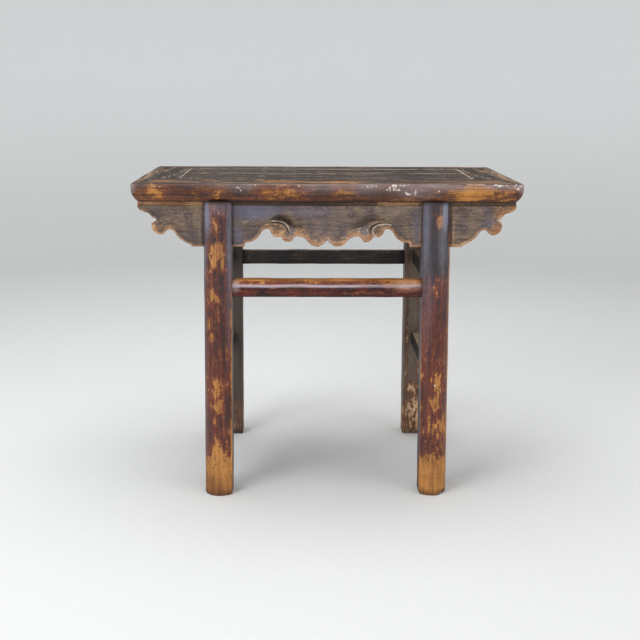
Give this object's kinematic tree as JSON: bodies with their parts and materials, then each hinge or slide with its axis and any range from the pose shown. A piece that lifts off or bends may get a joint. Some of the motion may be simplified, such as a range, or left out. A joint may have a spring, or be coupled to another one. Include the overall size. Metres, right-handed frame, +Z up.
{
  "type": "recessed-leg altar table",
  "caption": "Weathered Chinese altar table: splayed legs bridle-jointed round carved cloud-scroll aprons under a mitred, floating-panel top",
  "frame": {"origin": "centre of the table's footprint, on the floor", "axes": "X along the table's length, Y from front to rear, Z up; metres in the frame, millimetres in the source"},
  "size_m": [1.02, 0.59, 0.855],
  "materials": {
    "worn_lacquer": "satin",
    "carved_lacquer": "satin",
    "weathered_panel": "matte",
    "bare_wood": "matte"
  },
  "bodies": {
    "root": {"top_front_rail": "worn_lacquer", "top_rear_rail": "worn_lacquer", "top_left_end_rail": "worn_lacquer", "top_right_end_rail": "worn_lacquer", "top_front_board": "weathered_panel", "top_rear_board": "weathered_panel", "left_batten": "bare_wood", "middle_batten": "bare_wood", "right_batten": "bare_wood", "front_apron": "carved_lacquer", "rear_apron": "carved_lacquer", "front_left_leg": "worn_lacquer", "front_right_leg": "worn_lacquer", "rear_left_leg": "worn_lacquer", "rear_right_leg": "worn_lacquer", "front_stretcher": "worn_lacquer", "rear_stretcher": "worn_lacquer", "left_upper_stretcher": "worn_lacquer", "left_lower_stretcher": "worn_lacquer", "right_upper_stretcher": "worn_lacquer", "right_lower_stretcher": "worn_lacquer"}
  },
  "joints": []
}
